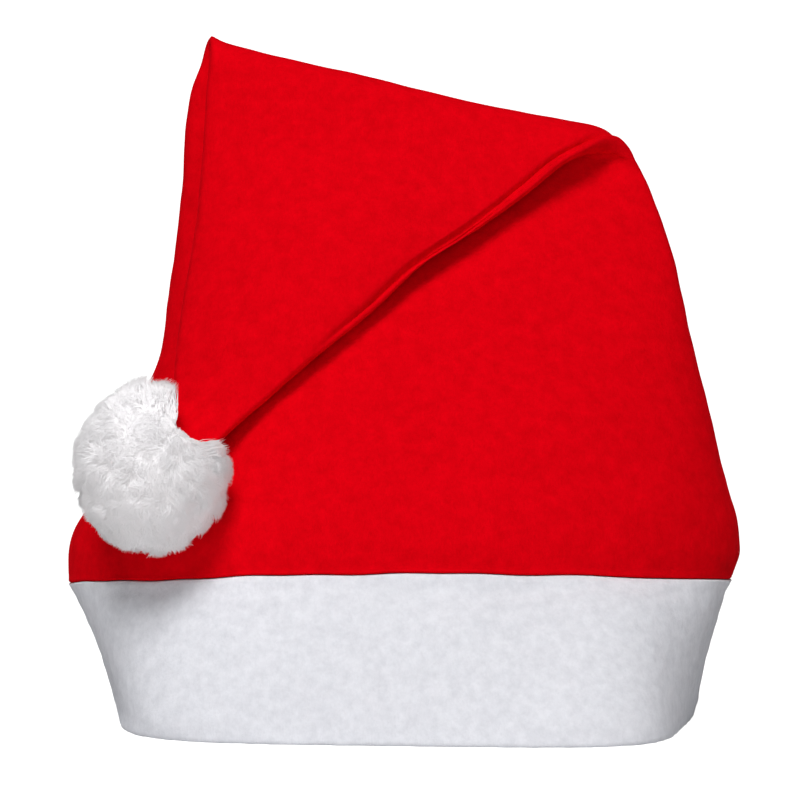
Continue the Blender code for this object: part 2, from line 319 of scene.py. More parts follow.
def smoothed(rows, steps):
    """One array for each column of the table, by a cubic curve from each row to the next.

    Between two rows a column is the Hermite cubic of its values and slopes. A slope is the
    difference over the length of the line through the sections' middles, and is held to three
    times the smaller slope beside it, so that no column overshoots its rows.
    """
    table = np.array(rows, float)
    middle = 0.5 * (table[:, 0:3] + table[:, 3:6])
    spans = np.linalg.norm(np.diff(middle, axis=0), axis=1)
    along = np.concatenate([[0.0], np.cumsum(spans)])
    steepness = np.diff(table, axis=0) / spans[:, None]
    before, after = steepness[:-1], steepness[1:]
    bound = np.where(before * after > 0, 3 * np.minimum(np.abs(before), np.abs(after)), 0)
    slopes = np.gradient(table, along, axis=0)
    slopes[1:-1] = np.clip(slopes[1:-1], -bound, bound)
    start = np.repeat(np.arange(len(steps)), steps)
    share = np.concatenate([np.arange(count) / count for count in steps])[:, None]
    reach = spans[start][:, None]
    values = (1 + 2 * share) * (1 - share) ** 2 * table[start]
    values += share * (1 - share) ** 2 * reach * slopes[start]
    values += share**2 * (3 - 2 * share) * table[start + 1]
    values += share**2 * (share - 1) * reach * slopes[start + 1]
    values = np.concatenate([values, table[-1:]])
    return Section(*(column[:, None] for column in values.T))


def across(half_length, inner_points):
    """Places over each section, 1 at its right edge to -1 at its left one.

    Near an edge the distance from it grows as a power of the count, up to the edge zone. Between
    the zones the places are cosines of evenly spaced angles.
    """
    scale = np.minimum(1.0, LARGEST_EDGE_SHARE * half_length / EDGE_ZONE)
    steps = EDGE_ZONE * np.linspace(0, 1, EDGE_POINTS) ** EDGE_EASE
    near = 1.0 - steps * scale / half_length
    widest = np.arccos(near[:, -1:])
    share = np.linspace(0, 1, inner_points + 2)[1:-1]
    inner = np.cos(widest + share * (math.pi - 2 * widest))
    return np.concatenate([near, inner, -near[:, ::-1]], axis=1)


def vectors(x, y, z):
    return np.stack(np.broadcast_arrays(x, y, z), axis=-1)


def crown_grid(section, settings, wall=0.0, inner_points=CROWN_POINTS):
    """A face of the crown: a loop for each section, down its outer side and back up the other.

    A point is the straight line from the left edge to the right one at place s, plus or minus the
    half depth along the section's outward direction. The half depth is (depth - edge) times
    (1 - s squared) to the power of the fullness, plus the edge with its round end. The outer side
    also has the seam's groove and the roll beside it, both bell curves of the distance from the
    right edge. Towards the left edge of the upper body the power grows, which thins it there, and
    that edge bends back and outwards by an exponential of the distance from it. Over the fold the
    left edge is sharper, and lifted by another exponential, and the right edge droops by a bell
    curve. The inner face is shorter by the wall at each edge, and thinner by it at its middle.
    """
    left = vectors(section.left_x, section.left_y, section.left_z)
    right = vectors(section.right_x, section.right_y, section.right_z)
    half_length = 0.5 * np.linalg.norm(right - left, axis=2)
    place = across(half_length, inner_points)
    turn = np.radians(section.turn)
    over = np.sin(turn) ** 2
    edge = section.edge * np.where(place < 0, 1 - CORNER_SHARPNESS * over, 1.0)
    edge_start = 1.0 - edge / half_length
    roundness = np.clip((np.abs(place) - edge_start) / (1.0 - edge_start), 0, 1)
    swell = np.clip(1 - place**2, 0, 1)
    pressed = np.interp(section.left_z, PRESSED_HEIGHTS, PRESSED_AMOUNTS) * (section.turn < 90)
    fullness = section.fullness * (1 + np.where(place < 0, PRESSED_SHARE * pressed, 0))
    half_depth = (section.depth - edge) * swell**fullness
    half_depth += edge * np.sqrt(1 - roundness**2)
    distance = (1.0 - place) * half_length
    wide = np.interp(half_length, SEAM_FADE, (0, 1))
    groove_place = settings.groove_place / MM * np.interp(half_length, SEAM_CLOSES, (0.5, 1))
    groove = np.exp(-(((distance - groove_place) / (settings.groove_width / MM)) ** 2))
    roll = np.exp(-(((distance - 0.3 * groove_place) / (0.3 * groove_place)) ** 2))
    relief = wide * (settings.lip / MM * roll - settings.groove_depth / MM * groove)
    relief *= 1 - 0.7 * over
    outward = vectors(
        np.sin(turn) * math.sin(FOLD_SLOPE), np.cos(turn), np.sin(turn) * math.cos(FOLD_SLOPE)
    )
    across_middle = 0.5 * (right - left) * (1 - wall / half_length)[:, :, None]
    middle = 0.5 * (left + right) + place[:, :, None] * across_middle
    middle[:, :, 1] -= section.bow * swell
    middle[:, :, 2] += section.arch * swell
    from_left = (1.0 + place) * half_length
    bend = BEND * pressed * np.exp(-from_left / BEND_REACH)
    middle[:, :, 1] += bend
    middle[:, :, 0] -= BEND_OUT * bend
    middle[:, :, 2] += CORNER_LIFT * over * np.exp(-from_left / CORNER_REACH)
    middle[:, :, 2] -= DROOP * over * np.exp(-((distance / DROOP_REACH) ** 2))
    thin = 1 - wall / section.depth
    outer = middle + ((half_depth + relief) * thin)[:, :, None] * outward
    inner = middle - (half_depth * thin)[:, :, None] * outward
    return np.concatenate([outer, inner[:, -2:0:-1]], axis=1)


def inset(loop, distance):
    """A loop moved inwards in plan, at right angles to the chord between a point's neighbours."""
    ahead = np.roll(loop, -1, axis=0) - np.roll(loop, 1, axis=0)
    size = np.hypot(ahead[:, 0], ahead[:, 1])
    shift = vectors(-ahead[:, 1] / size, ahead[:, 0] / size, 0 * size)
    return loop + np.asarray(distance)[..., None] * shift


def raised(loop, height):
    return loop + vectors(0.0, 0.0, np.asarray(height, float))


def rim_loop(seam):
    """The rim in plan, with a point below each point of the seam.

    The seam's direction from its middle is carried out to a superellipse, whose power differs in
    front and behind. In front the sides draw in towards the corners, and the front runs askew.
    """
    middle = 0.5 * (seam.max(axis=0) + seam.min(axis=0))
    half = 0.5 * (seam.max(axis=0) - seam.min(axis=0))
    wide = (seam[:, 0] - middle[0]) / half[0]
    deep = (seam[:, 1] - middle[1]) / half[1]
    in_front = deep < 0
    power = np.where(in_front, RIM_FRONT_SQUARENESS, RIM_BACK_SQUARENESS)
    size = (np.abs(wide) ** power + np.abs(deep) ** power) ** (1 / power)
    wide, deep = wide / size, deep / size
    forward = np.maximum(-deep, 0)
    x = RIM_HALF_WIDTH * wide * (1 - (RIM_TAPER + RIM_TAPER_RIGHT * wide) * forward)
    x -= RIM_FLAT_RIGHT * np.clip(wide, 0, 1) * np.sin(math.pi * forward) ** 2
    y = np.where(in_front, RIM_FRONT_DEPTH, RIM_BACK_DEPTH) * deep + RIM_SKEW * x * forward
    return vectors(x + RIM_SHIFT, y, 0 * x)


def grid_normals(grid, closed):
    """Unit normals of a grid whose rows are loops, from the differences along and across it."""
    around = np.roll(grid, -1, axis=1) - np.roll(grid, 1, axis=1)
    if closed:
        along = np.roll(grid, -1, axis=0) - np.roll(grid, 1, axis=0)
    else:
        along = np.gradient(grid, axis=0)
    normal = np.cross(around, along)
    return normal / np.maximum(np.linalg.norm(normal, axis=2, keepdims=True), 1e-9)


def waves(points, wavelengths, count, seed):
    """Unevenness mostly from -1 to 1: a scaled sum of sine waves in random directions."""
    rng = np.random.default_rng(seed)
    directions = rng.normal(size=(count, 3))
    directions /= np.linalg.norm(directions, axis=1)[:, None]
    pitch = 2 * math.pi / rng.uniform(*wavelengths, count)
    phase = rng.uniform(0, 2 * math.pi, count)
    turns = points @ (directions * pitch[:, None]).T + phase
    return np.sin(turns).sum(axis=-1) / math.sqrt(0.5 * count) / 1.6


def arc_of(loop):
    """Length along a closed loop at each of its points, and its whole length."""
    steps = np.linalg.norm(np.roll(loop, -1, axis=0) - loop, axis=1)
    return np.concatenate([[0.0], np.cumsum(steps)[:-1]]), steps.sum()


def seam_waves(points):
    """Height of the seam's slow rise and fall, from the place in plan: sines along x and y."""
    x, y = points[..., 0], points[..., 1]
    total = 0.5 * np.sin(x / 9.1 + 0.7) + 0.35 * np.sin(x / 4.3 - y / 7.7) + 0.4 * np.sin(y / 6.1)
    return SEAM_WAVE * total


def puckers(seam, seed):
    """Depth of the puckers round the seam, 0 to 1, with a whole number of each wave round it."""
    rng = np.random.default_rng(seed)
    arc, whole = arc_of(seam)
    turns = rng.integers(18, 46, 9)
    phase = rng.uniform(0, 2 * math.pi, 9)
    total = np.sin(2 * math.pi * arc[:, None] * turns / whole + phase).sum(axis=1)
    return np.clip(0.5 + total / 6, 0, 1)


# Meshes


def fill_mesh(name, points, quads, triangles, smooth=True):
    """A mesh from arrays of points, four-sided faces and three-sided faces."""
    mesh = bpy.data.meshes.new(name)
    mesh.vertices.add(len(points))
    mesh.vertices.foreach_set("co", np.ascontiguousarray(points, np.float32).ravel())
    corners = np.concatenate([np.ravel(quads), np.ravel(triangles)]).astype(np.int32)
    starts = np.concatenate(
        [4 * np.arange(len(quads)), 4 * len(quads) + 3 * np.arange(len(triangles))]
    )
    mesh.loops.add(len(corners))
    mesh.loops.foreach_set("vertex_index", corners)
    mesh.polygons.add(len(starts))
    mesh.polygons.foreach_set("loop_start", starts.astype(np.int32))
    mesh.polygons.foreach_set("use_smooth", np.full(len(starts), smooth))
    mesh.update(calc_edges=True)
    piece = bpy.data.objects.new(name, mesh)
    bpy.context.scene.collection.objects.link(piece)
    return piece


def grid_faces(rows, count, closed):
    """Four-sided faces between each loop of a grid and the next, and from the last to the first."""
    low = np.arange(rows if closed else rows - 1)[:, None] * count
    high = (np.arange(1, len(low) + 1)[:, None] % rows) * count
    here = np.arange(count)
    after = (here + 1) % count
    faces = np.stack([low + here, low + after, high + after, high + here], axis=-1)
    return faces.reshape(-1, 4)


def set_tone(mesh, tone):
    """Stores a number from 0 to 1 on each vertex, which the material reads as its tone."""
    layer = mesh.attributes.new("tone", "FLOAT", "POINT")
    layer.data.foreach_set("value", np.ascontiguousarray(tone, np.float32))


def needles(name, paths, widths, tones):
    """Closed tapering fibres of three sides, one along each path, all in one mesh.

    Each path's points but its last carry a triangle of the given width, set square to the
    straight line from its root to its tip, and the last point closes the tip.
    """
    count, steps = paths.shape[:2]
    chord = paths[:, -1] - paths[:, 0]
    chord /= np.linalg.norm(chord, axis=1)[:, None]
    helper = np.where(np.abs(chord[:, 2:3]) < 0.8, [[0.0, 0.0, 1.0]], [[1.0, 0.0, 0.0]])
    side = np.cross(chord, helper)
    side /= np.linalg.norm(side, axis=1)[:, None]
    other = np.cross(chord, side)
    turn = 2 * math.pi * np.arange(3) / 3
    ring = np.cos(turn)[:, None] * side[:, None] + np.sin(turn)[:, None] * other[:, None]
    rings = paths[:, :-1, None] + 0.5 * widths[:, :, None, None] * ring[:, None]
    points = np.concatenate([rings.reshape(count, -1, 3), paths[:, -1:]], axis=1)
    size = 3 * (steps - 1) + 1
    first = np.arange(count)[:, None] * size
    corner = np.arange(3)
    nxt = (corner + 1) % 3
    levels = 3 * np.arange(steps - 2)[:, None]
    sides = np.stack(
        [levels + corner, levels + nxt, levels + 3 + nxt, levels + 3 + corner], axis=-1
    ).reshape(-1)
    last = 3 * (steps - 2)
    tips = np.stack([last + corner, last + nxt, np.full(3, size - 1)], axis=-1).reshape(-1)
    caps = np.concatenate([tips, [0, 2, 1]])
    piece = fill_mesh(
        name,
        points.reshape(-1, 3),
        (first + sides).reshape(-1, 4),
        (first + caps).reshape(-1, 3),
    )
    rows = np.concatenate([np.repeat(tones[:, :-1], 3, axis=1), tones[:, -1:]], axis=1)
    set_tone(piece.data, rows.ravel())
    return piece


def soften_normals(mesh):
    """Turns the shading normals most of the way to the ball's own, flattened towards the level.

    Light scatters through real pile, which softens the change of shade over the ball.
    """
    count = len(mesh.vertices)
    points = np.empty(3 * count, np.float32)
    mesh.vertices.foreach_get("co", points)
    own = np.empty(3 * count, np.float32)
    mesh.vertices.foreach_get("normal", own)
    outward = unit(points.reshape(-1, 3) - POMPOM_CENTRE) * NORMAL_FLATTENING
    mixed = unit(NORMAL_OWN_SHARE * own.reshape(-1, 3) + outward)
    mesh.normals_split_custom_set_from_vertices(mixed)


# Materials


def node(tree, kind, **values):
    """A node with the given settings; a name that is an input's sets that input."""
    made = tree.nodes.new(kind)
    for name, value in values.items():
        socket = made.inputs.get(name.replace("_", " ").title())
        if socket is not None:
            socket.default_value = value
        else:
            setattr(made, name, value)
    return made


def felt_group():
    """Shared felt pattern: slow clouds, small flecks and three sets of crossing fibres."""
    name = "Felt pattern"
    if name in bpy.data.node_groups:
        return bpy.data.node_groups[name]
    tree = bpy.data.node_groups.new(name, "ShaderNodeTree")
    tree.interface.new_socket("Vector", in_out="INPUT", socket_type="NodeSocketVector")
    for label in ("Cloud Scale", "Fleck Scale", "Fibre Scale"):
        tree.interface.new_socket(label, in_out="INPUT", socket_type="NodeSocketFloat")
    for label in ("Tone", "Height"):
        tree.interface.new_socket(label, in_out="OUTPUT", socket_type="NodeSocketFloat")
    given = tree.nodes.new("NodeGroupInput")
    result = tree.nodes.new("NodeGroupOutput")
    link = tree.links.new
    clouds = node(tree, "ShaderNodeTexNoise", detail=3.0, roughness=0.55)
    link(given.outputs["Vector"], clouds.inputs["Vector"])
    link(given.outputs["Cloud Scale"], clouds.inputs["Scale"])
    flecks = node(tree, "ShaderNodeTexNoise", detail=4.0, roughness=0.7)
    link(given.outputs["Vector"], flecks.inputs["Vector"])
    link(given.outputs["Fleck Scale"], flecks.inputs["Scale"])
    strands = []
    for lean in (0.9, -0.7, 2.3):
        turned = node(tree, "ShaderNodeMapping", rotation=(0.2, lean, 0.1), scale=(1.0, 1.0, 0.14))
        link(given.outputs["Vector"], turned.inputs["Vector"])
        strand = node(tree, "ShaderNodeTexNoise", detail=2.0, roughness=0.5)
        link(turned.outputs["Vector"], strand.inputs["Vector"])
        link(given.outputs["Fibre Scale"], strand.inputs["Scale"])
        strands.append(strand.outputs["Fac"])
    pair = node(tree, "ShaderNodeMath", operation="MAXIMUM")
    link(strands[0], pair.inputs[0])
    link(strands[1], pair.inputs[1])
    crossed = node(tree, "ShaderNodeMath", operation="MAXIMUM")
    link(pair.outputs[0], crossed.inputs[0])
    link(strands[2], crossed.inputs[1])

    def blended(parts):
        """The sum of each output times its weight."""
        total = None
        for output, weight in parts:
            step = node(tree, "ShaderNodeMath", operation="MULTIPLY_ADD")
            link(output, step.inputs[0])
            step.inputs[1].default_value = weight
            step.inputs[2].default_value = 0.0
            if total is not None:
                link(total, step.inputs[2])
            total = step.outputs[0]
        return total

    tone = blended(
        ((clouds.outputs["Fac"], 0.5), (flecks.outputs["Fac"], 0.35), (crossed.outputs[0], 0.15))
    )
    height = blended(((flecks.outputs["Fac"], 0.45), (crossed.outputs[0], 0.55)))
    link(tone, result.inputs["Tone"])
    link(height, result.inputs["Height"])
    return tree


def felt_material(name, light, dark, scales, span, bump, sheen):
    """Needled felt: its tone runs between two colours, and its fibres are a fine bump."""
    material = bpy.data.materials.new(name)
    material.use_nodes = True
    tree = material.node_tree
    link = tree.links.new
    shader = tree.nodes["Principled BSDF"]
    place = tree.nodes.new("ShaderNodeTexCoord")
    pattern = tree.nodes.new("ShaderNodeGroup")
    pattern.node_tree = felt_group()
    link(place.outputs["Object"], pattern.inputs["Vector"])
    for label, scale in zip(("Cloud Scale", "Fleck Scale", "Fibre Scale"), scales):
        pattern.inputs[label].default_value = scale
    ramp = tree.nodes.new("ShaderNodeValToRGB")
    ramp.color_ramp.elements[0].position = 0.5 - span
    ramp.color_ramp.elements[1].position = 0.5 + span
    ramp.color_ramp.elements[0].color = dark
    ramp.color_ramp.elements[1].color = light
    link(pattern.outputs["Tone"], ramp.inputs["Fac"])
    link(ramp.outputs["Color"], shader.inputs["Base Color"])
    relief = tree.nodes.new("ShaderNodeBump")
    relief.inputs["Strength"].default_value = bump
    relief.inputs["Distance"].default_value = 0.0005
    link(pattern.outputs["Height"], relief.inputs["Height"])
    link(relief.outputs["Normal"], shader.inputs["Normal"])
    shader.inputs["Roughness"].default_value = 0.95
    shader.inputs["Specular IOR Level"].default_value = 0.02
    shader.inputs["Sheen Weight"].default_value = sheen
    shader.inputs["Sheen Roughness"].default_value = 0.5
    shader.inputs["Sheen Tint"].default_value = light
    return material


def pile_material(name, settings):
    """Cut pile: its colour runs from root to tip by each fibre's tone, darker and pinker at the roots as
    painted shade and painted red bounce, and an even emission over it is a painted glow.
    """
    material = bpy.data.materials.new(name)
    material.use_nodes = True
    tree = material.node_tree
    shader = tree.nodes["Principled BSDF"]
    tone = tree.nodes.new("ShaderNodeAttribute")
    tone.attribute_name = "tone"
    ramp = tree.nodes.new("ShaderNodeValToRGB")
    ramp.color_ramp.elements[0].color = settings.dark
    ramp.color_ramp.elements[1].color = settings.light
    tree.links.new(tone.outputs["Fac"], ramp.inputs["Fac"])
    tree.links.new(ramp.outputs["Color"], shader.inputs["Base Color"])
    shader.inputs["Roughness"].default_value = 0.8
    shader.inputs["Specular IOR Level"].default_value = 0.1
    shader.inputs["Sheen Weight"].default_value = 0.6
    # Painted glow: the pile emits its tip colour evenly all over, standing in for the light scattered
    # through it, though it is no lamp.
    shader.inputs["Emission Color"].default_value = settings.light
    shader.inputs["Emission Strength"].default_value = settings.glow
    return material


# Pieces


def sections():
    """The crown's sections, with the loops closest together above the seam and over the fold."""
    rows = BODY + FOLD + FLAP
    steps = [FIRST_LOOPS] + [BODY_LOOPS] * (len(BODY) - 2)
    steps += [FOLD_LOOPS] * (len(FOLD) + 1) + [FLAP_LOOPS] * (len(FLAP) - 1)
    return smoothed(rows, steps)


def build_crown(settings):
    """The red crown: the allowance turned in at the seam, the body, the fold, the flap and the tip.

    Its loops start inside the opening, turn up through a quarter circle at the seam and go on as
    the sections do. The felt's slow waves and puckers move both faces along the outer normals.
    The inner face starts a wall's thickness above the allowance, and the two are joined there.
    """
    wall = settings.wall / MM
    rows = sections()
    outer = crown_grid(rows, settings)
    inner = crown_grid(rows, settings, wall)
    seam = outer[0]
    turn = np.linspace(0, 0.5 * math.pi, 7)[:, None]
    roll = inset(seam, SEAM_ROLL * (1 - np.sin(turn)))
    roll = raised(roll, SEAM_GAP + SEAM_ROLL * (1 - np.cos(turn)))
    allowance = inset(seam, np.linspace(SEAM_ALLOWANCE, SEAM_ROLL, 5)[:-1, None])
    allowance = raised(allowance, np.full((4, 1), SEAM_GAP))
    above_roll = outer[:, :, 2].min(axis=1) - seam[:, 2].min() > SEAM_GAP + SEAM_ROLL + 0.15
    grid = np.concatenate([allowance, roll, outer[above_roll]])
    inner_roll = raised(
        inset(seam, SEAM_ROLL * (1 - np.sin(turn)) + wall * np.sin(turn)),
        SEAM_GAP + SEAM_ROLL * (1 - np.cos(turn)) + wall * np.cos(turn),
    )
    inner = np.concatenate([raised(allowance, wall), inner_roll, inner[above_roll]])
    above = np.linalg.norm(grid - seam, axis=2)
    turned_in = len(allowance) + 2
    near = np.exp(-((above / PUCKER_REACH) ** 2)) * (1 - np.exp(-((above / PUCKER_START) ** 2)))
    tuck = np.exp(-(((above - TUCK_PLACE) / TUCK_WIDTH) ** 2))
    shift = -settings.pucker / MM * (puckers(seam, 11) * near + TUCK_SHARE * tuck)
    slow = waves(grid, CROWN_SWAY_LENGTHS, 12, 3) * (1 - np.exp(-above / SWAY_START))
    shift += settings.sway / MM * slow
    shift[:turned_in] = 0
    calm = (len(grid) - CALM_LOOPS[0], len(grid) - CALM_LOOPS[1])
    shift *= np.interp(np.arange(len(grid)), calm, (1, 0))[:, None]
    small = waves(grid, CROWN_NAP_LENGTHS, 40, 4) * np.clip(above / NAP_START, 0, 1)
    shift += settings.nap / MM * small * np.linspace(1, 0, len(grid))[:, None] ** 0.2
    moved = shift[:, :, None] * grid_normals(grid, closed=False)
    moved[:, :, 2] += seam_waves(seam) * np.exp(-above / SEAM_WAVE_REACH)
    grid, inner = grid + moved, inner + moved
    rows, count = grid.shape[:2]
    total = rows * count
    last_middle = grid[-1].mean(axis=0)
    tips = np.array([TIP, TIP + 0.45 * (last_middle - TIP)])
    points = np.concatenate([grid.reshape(-1, 3), inner.reshape(-1, 3), tips]) * MM
    faces = grid_faces(rows, count, closed=False)
    ring = np.arange(count)
    after = np.roll(ring, -1)
    edge = np.stack([ring, ring + total, after + total, after], axis=-1)
    last = total - count
    cap = np.stack([last + ring, last + after, np.full(count, 2 * total)], axis=-1)
    inner_last = total + last
    inner_cap = np.stack([inner_last + after, inner_last + ring, np.full(count, 2 * total + 1)], axis=-1)
    quads = np.concatenate([faces, total + faces[:, ::-1], edge])
    crown = fill_mesh("felt_crown", points, quads, np.concatenate([cap, inner_cap]))
    red = felt_material(
        "red_felt", settings.light, settings.dark, (210.0, 800.0, 2200.0), 0.14, 0.4, 0.15
    )
    crown.data.materials.append(red)
    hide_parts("crown")
    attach(crown, "root")
    return crown


def build_cuff(settings):
    """The white cuff: a closed profile of doubled felt carried round from the rim to the seam.

    Up the wall a point goes from the rim to the seam by a power of its share of the height. The
    profile turns over in half circles at the rim and in a quarter circle at the seam, and comes
    back down inside.
    """
    crown = bpy.context.scene.hat_crown
    seam = crown_grid(smoothed(BODY[:2], [1]), crown, inner_points=CUFF_POINTS)[0]
    seam_top = seam[:, 2]
    rim = rim_loop(seam)
    wall = settings.wall / MM
    soft = 0.5 * wall

    def level(share, depth):
        share = np.asarray(share, float)[:, None, None]
        mixed = rim + (seam - rim) * share**settings.flare
        mixed[:, :, 2] = seam_top * share[:, :, 0]
        return np.stack([inset(loop, depth_here) for loop, depth_here in zip(mixed, depth)])

    turn = np.linspace(0, 0.5 * math.pi, 6)
    lift = soft * (1 - np.cos(turn))
    low = lift / seam_top.mean()
    outer_turn = level(low, soft * (1 - np.sin(turn)) * 0.8)
    up = np.linspace(low[-1], 1 - SEAM_ROLL / seam_top.mean(), 46)[1:]
    outside = level(up, np.zeros(len(up)))
    top_turn = np.linspace(0, 0.5 * math.pi, 6)[1:, None]
    top = inset(seam, SEAM_ROLL * (1 - np.cos(top_turn)))
    top = raised(top, -SEAM_ROLL * (1 - np.sin(top_turn)))
    allowance = inset(seam, np.linspace(SEAM_ROLL, SEAM_ALLOWANCE, 4)[1:, None])
    below = raised(inset(seam, np.linspace(SEAM_ALLOWANCE, wall, 4)[:, None]), np.full((4, 1), -soft))
    down = np.linspace(1 - wall / seam_top.mean(), low[-1], 22)
    inside = level(down, np.full(len(down), wall))
    inner_turn = level(low[::-1][1:], wall - soft * (1 - np.sin(turn[::-1][1:])) * 0.8)
    grid = np.concatenate([outer_turn, outside, top, allowance, below, inside, inner_turn])
    from_seam = np.linalg.norm(grid - seam, axis=2)
    outer_rows = np.arange(len(grid)) < len(outer_turn) + len(outside) + 2
    near = np.exp(-(((from_seam - 4.6) / 2.4) ** 2))
    shift = -settings.pucker / MM * (0.25 + puckers(seam, 5)) * near
    wall_fade = np.clip(grid[:, :, 2] / 6.0, 0, 1) * np.clip(from_seam / 6.0, 0, 1)
    shift += settings.sway / MM * waves(grid, CUFF_SWAY_LENGTHS, 12, 9) * wall_fade
    small = waves(grid, CUFF_NAP_LENGTHS, 50, 21) * np.clip(from_seam / 2.0, 0, 1)
    shift += settings.nap / MM * small
    shift *= outer_rows[:, None]
    grid = grid + shift[:, :, None] * grid_normals(grid, closed=True)
    grid[:, :, 2] += seam_waves(seam) * np.exp(-from_seam / SEAM_WAVE_REACH)
    grid[:, :, 2] = np.maximum(grid[:, :, 2], 0)
    rows, count = grid.shape[:2]
    cuff = fill_mesh("felt_cuff", grid.reshape(-1, 3) * MM, grid_faces(rows, count, closed=True), [])
    white = felt_material(
        "white_felt", settings.light, settings.dark, (260.0, 700.0, 1700.0), 0.15, 0.6, 0.1
    )
    cuff.data.materials.append(white)
    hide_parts("cuff_band")
    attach(cuff, "root")
    return cuff


# Pompom


def spread_directions(count):
    """Directions spread evenly over a sphere, along a golden-angle spiral."""
    turn = math.pi * (3 - math.sqrt(5)) * np.arange(count)
    height = 1 - (2 * np.arange(count) + 1) / count
    width = np.sqrt(1 - height**2)
    return vectors(width * np.cos(turn), width * np.sin(turn), height)


def unit(rows):
    return rows / np.linalg.norm(rows, axis=-1, keepdims=True)


def jittered(directions, spread, rng):
    return unit(directions + rng.normal(0, spread, directions.shape))


def smooth_step(value, low, high):
    """0 below low, 1 above high, and 3 t squared - 2 t cubed of the share t between them."""
    share = np.clip((value - low) / (high - low), 0, 1)
    return share**2 * (3 - 2 * share)


def pile_reach(directions, felt_points):
    """How far the pile reaches in each direction.

    The reach is the ellipsoid's radius. Seen from the front, the pile is parted where the crown's
    tip comes in from the upper right: between two angles round the middle, the reach across the
    view stays under the parting's radius. It also stops short of the nearest felt within the
    press angle of the direction.
    """
    reach = 1.0 / np.linalg.norm(directions / POMPOM_RADII, axis=1)
    front = unit(np.array(PILE_FACING))
    toward = directions @ front
    rightward = directions @ np.array([-front[1], front[0], 0.0])
    aside = np.sqrt(np.clip(1 - toward**2, 1e-6, 1))
    angle = np.arctan2(directions[:, 2], rightward)
    angle += PARTING_RAGGED * waves(directions, (0.12, 0.35), 16, 41)
    window = smooth_step(angle, *PARTING_FROM) * (1 - smooth_step(angle, *PARTING_TO))
    window *= 1 - smooth_step(-toward, *PARTING_BEHIND)
    parted = np.minimum(reach, PARTING_RADIUS / aside)
    reach = reach + window * (parted - reach)
    away = felt_points - POMPOM_CENTRE
    far = np.linalg.norm(away, axis=1)
    close = far < 1.3 * POMPOM_RADII.max()
    away, far = away[close] / far[close, None], far[close]
    for start in range(0, len(directions), 4000):
        part = slice(start, start + 4000)
        facing = directions[part] @ away.T > math.cos(PRESS_ANGLE)
        nearest = np.where(facing, far, 1.0).min(axis=1)
        reach[part] = np.minimum(reach[part], nearest - PRESS_GAP)
    return reach


def felt_cloud(crown):
    """Points over both sides of the crown's felt: its vertices and the middles of its faces."""
    mesh = crown.data
    points = np.empty(3 * len(mesh.vertices), np.float32)
    mesh.vertices.foreach_get("co", points)
    middles = np.empty(3 * len(mesh.polygons), np.float32)
    mesh.polygons.foreach_get("center", middles)
    return np.concatenate([points.reshape(-1, 3), middles.reshape(-1, 3)]).astype(float)


def build_core(felt_points, material):
    """The dense heart of the pompom: a sphere's grid of directions at a share of the pile's reach.

    Two sets of waves, slow and quick, give it lumps.
    """
    rows, count = CORE_GRID
    height = np.cos(np.linspace(0, math.pi, rows + 2)[1:-1])[:, None]
    turn = 2 * math.pi * np.arange(count) / count
    width = np.sqrt(1 - height**2)
    directions = vectors(width * np.cos(turn), width * np.sin(turn), height).reshape(-1, 3)
    poles = np.array([[0.0, 0.0, 1.0], [0.0, 0.0, -1.0]])
    every = np.concatenate([directions, poles])
    lumps = 1 + 0.03 * waves(every, (0.25, 0.6), 24, 31) + 0.012 * waves(every, (0.05, 0.12), 40, 32)
    points = POMPOM_CENTRE + every * (CORE_SHARE * pile_reach(every, felt_points) * lumps)[:, None]
    faces = grid_faces(rows, count, closed=False)[:, ::-1]
    ring = np.arange(count)
    after = np.roll(ring, -1)
    top = np.stack([ring, after, np.full(count, rows * count)], axis=-1)
    last = (rows - 1) * count
    bottom = np.stack([last + after, last + ring, np.full(count, rows * count + 1)], axis=-1)
    core = fill_mesh("pompom_core", points, faces, np.concatenate([top, bottom]))
    # The core takes a tone between root and tip, darker than the tips: painted shade inside the pile.
    set_tone(core.data, np.full(len(points), 0.6))
    soften_normals(core.data)
    core.data.materials.append(material)
    return core


